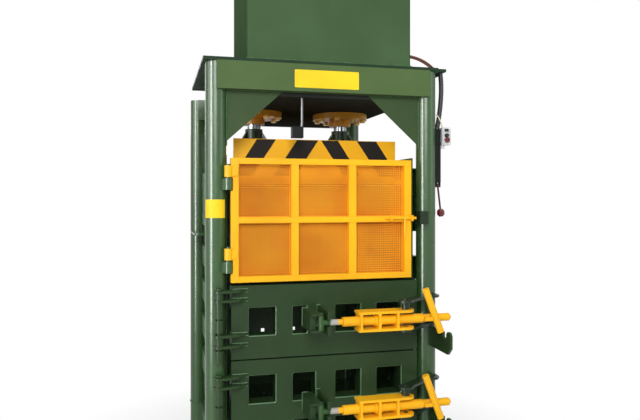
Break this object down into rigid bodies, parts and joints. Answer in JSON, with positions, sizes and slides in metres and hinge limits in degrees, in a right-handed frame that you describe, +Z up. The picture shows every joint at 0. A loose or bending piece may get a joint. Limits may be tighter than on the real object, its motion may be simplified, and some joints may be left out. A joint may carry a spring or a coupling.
{
  "type": "vertical recycling baler",
  "caption": "Upright hydraulic baler with a meshed feed door, strapping doors with screw locks, a pressing platen on two rams and a power pack housing on top.",
  "frame": {"origin": "middle of the footprint's bounding box, on the floor", "axes": "+Z up, -Y towards the front doors, +X towards the lock side"},
  "size_m": [1.291, 1.702, 3.305],
  "materials": {
    "green_paint": "paint",
    "dark_green_paint": "paint",
    "light_green_paint": "paint",
    "yellow_paint": "paint",
    "chrome": "plain",
    "bolt_steel": "plain",
    "grey_pipe": "plain",
    "black_fitting": "paint",
    "grey_plastic": "plain",
    "black_plastic": "plain",
    "red_plastic": "plain",
    "brown_hose": "plain",
    "cream_wire": "plain",
    "grey_paint": "paint"
  },
  "bodies": {
    "frame": {"column_front_left": "green_paint", "column_front_right": "green_paint", "column_rear_left": "green_paint", "column_rear_right": "green_paint", "front_header": "light_green_paint", "rear_header": "light_green_paint", "cylinder_platform": "green_paint", "top_plate": "light_green_paint", "base_front": "green_paint", "base_rear": "green_paint", "chamber_floor": "green_paint", "left_wall": "green_paint", "right_wall": "green_paint", "rear_wall": "green_paint", "power_housing": "light_green_paint", "oil_tank": "grey_paint", "pump_motor": "grey_paint", "hydraulic_pump": "grey_paint", "cylinder_barrel_left": "green_paint", "cylinder_barrel_right": "green_paint", "cylinder_flange_left": "yellow_paint", "cylinder_flange_right": "yellow_paint", "flange_bolts": "bolt_steel", "oil_pipe": "grey_pipe", "pipe_block": "black_fitting", "hinge_post_upper": "dark_green_paint", "hinge_post_lower": "dark_green_paint", "lock_anchor_upper": "dark_green_paint", "lock_anchor_lower": "dark_green_paint", "catch_bracket_upper": "dark_green_paint", "catch_bracket_lower": "dark_green_paint", "mesh_hinge_upper": "green_paint", "mesh_hinge_lower": "green_paint", "bolt_keeper": "green_paint", "button_box": "grey_plastic", "conduit": "black_fitting", "hose_bundle": "brown_hose", "signal_wire": "cream_wire", "control_valve": "black_fitting"},
    "platen": {"platen": "yellow_paint", "rod_socket_left": "dark_green_paint", "rod_socket_right": "dark_green_paint", "piston_rod_left": "chrome", "piston_rod_right": "chrome"},
    "mesh_door": {"mesh_door_frame": "yellow_paint", "mesh_sheet": "yellow_paint"},
    "door_bolt": {"door_bolt": "bolt_steel"},
    "start_button": {"start_button": "black_plastic"},
    "stop_button": {"stop_button": "red_plastic"},
    "valve_lever": {"valve_lever": "bolt_steel", "lever_knob": "red_plastic"},
    "door_upper": {"front_door_upper": "dark_green_paint"},
    "rod_upper": {"lock_rod_upper": "dark_green_paint"},
    "cage_upper": {"lock_cage_upper": "dark_green_paint", "lock_hooks_upper": "dark_green_paint"},
    "sleeve_upper": {"lock_sleeve_upper": "dark_green_paint"},
    "door_lower": {"front_door_lower": "dark_green_paint"},
    "rod_lower": {"lock_rod_lower": "dark_green_paint"},
    "cage_lower": {"lock_cage_lower": "dark_green_paint", "lock_hooks_lower": "dark_green_paint"},
    "sleeve_lower": {"lock_sleeve_lower": "dark_green_paint"}
  },
  "joints": [
    {"name": "platen_stroke", "type": "slide", "parent": "frame", "child": "platen", "axis": [0, 0, -1], "range_m": [0, 1]},
    {"name": "mesh_door_hinge", "type": "hinge", "parent": "frame", "child": "mesh_door", "pos_m": [-0.5255, -0.601, 1.42], "axis": [0, 0, -1], "range_deg": [0, 120]},
    {"name": "door_bolt_slide", "type": "slide", "parent": "mesh_door", "child": "door_bolt", "axis": [1, 0, 0], "range_m": [-0.03, 0.025]},
    {"name": "start_press", "type": "slide", "parent": "frame", "child": "start_button", "axis": [0, 1, 0], "range_m": [0, 0.004], "stiffness_N_per_m": 700},
    {"name": "stop_press", "type": "slide", "parent": "frame", "child": "stop_button", "axis": [0, 1, 0], "range_m": [0, 0.004], "stiffness_N_per_m": 700},
    {"name": "lever_swing", "type": "hinge", "parent": "frame", "child": "valve_lever", "pos_m": [0.5885, -0.541, 1.5955], "axis": [1, 0, 0], "range_deg": [-15, 15], "stiffness_Nm_per_rad": 6},
    {"name": "door_hinge_upper", "type": "hinge", "parent": "frame", "child": "door_upper", "pos_m": [-0.5705, -0.621, 0.9235], "axis": [0, 0, -1], "range_deg": [0, 110]},
    {"name": "lock_swing_upper", "type": "hinge", "parent": "door_upper", "child": "rod_upper", "pos_m": [-0.1085, -0.769, 0.939], "axis": [0, 0, -1], "range_deg": [0, 100]},
    {"name": "cage_slide_upper", "type": "slide", "parent": "rod_upper", "child": "cage_upper", "axis": [1, 0, 0], "range_m": [0, 0.006]},
    {"name": "sleeve_turn_upper", "type": "hinge", "parent": "cage_upper", "child": "sleeve_upper", "pos_m": [0.2195, -0.769, 0.939], "axis": [1, 0, 0], "range_deg": [0, 180]},
    {"name": "door_hinge_lower", "type": "hinge", "parent": "frame", "child": "door_lower", "pos_m": [-0.5705, -0.621, 0.49], "axis": [0, 0, -1], "range_deg": [0, 110]},
    {"name": "lock_swing_lower", "type": "hinge", "parent": "door_lower", "child": "rod_lower", "pos_m": [-0.1085, -0.769, 0.52], "axis": [0, 0, -1], "range_deg": [0, 100]},
    {"name": "cage_slide_lower", "type": "slide", "parent": "rod_lower", "child": "cage_lower", "axis": [1, 0, 0], "range_m": [0, 0.006]},
    {"name": "sleeve_turn_lower", "type": "hinge", "parent": "cage_lower", "child": "sleeve_lower", "pos_m": [0.2195, -0.769, 0.52], "axis": [1, 0, 0], "range_deg": [0, 180]}
  ],
  "couplings": [
    {"joint": "cage_slide_upper", "follows": "sleeve_turn_upper", "m_per_rad": 0.0019},
    {"joint": "cage_slide_lower", "follows": "sleeve_turn_lower", "m_per_rad": 0.0019}
  ]
}
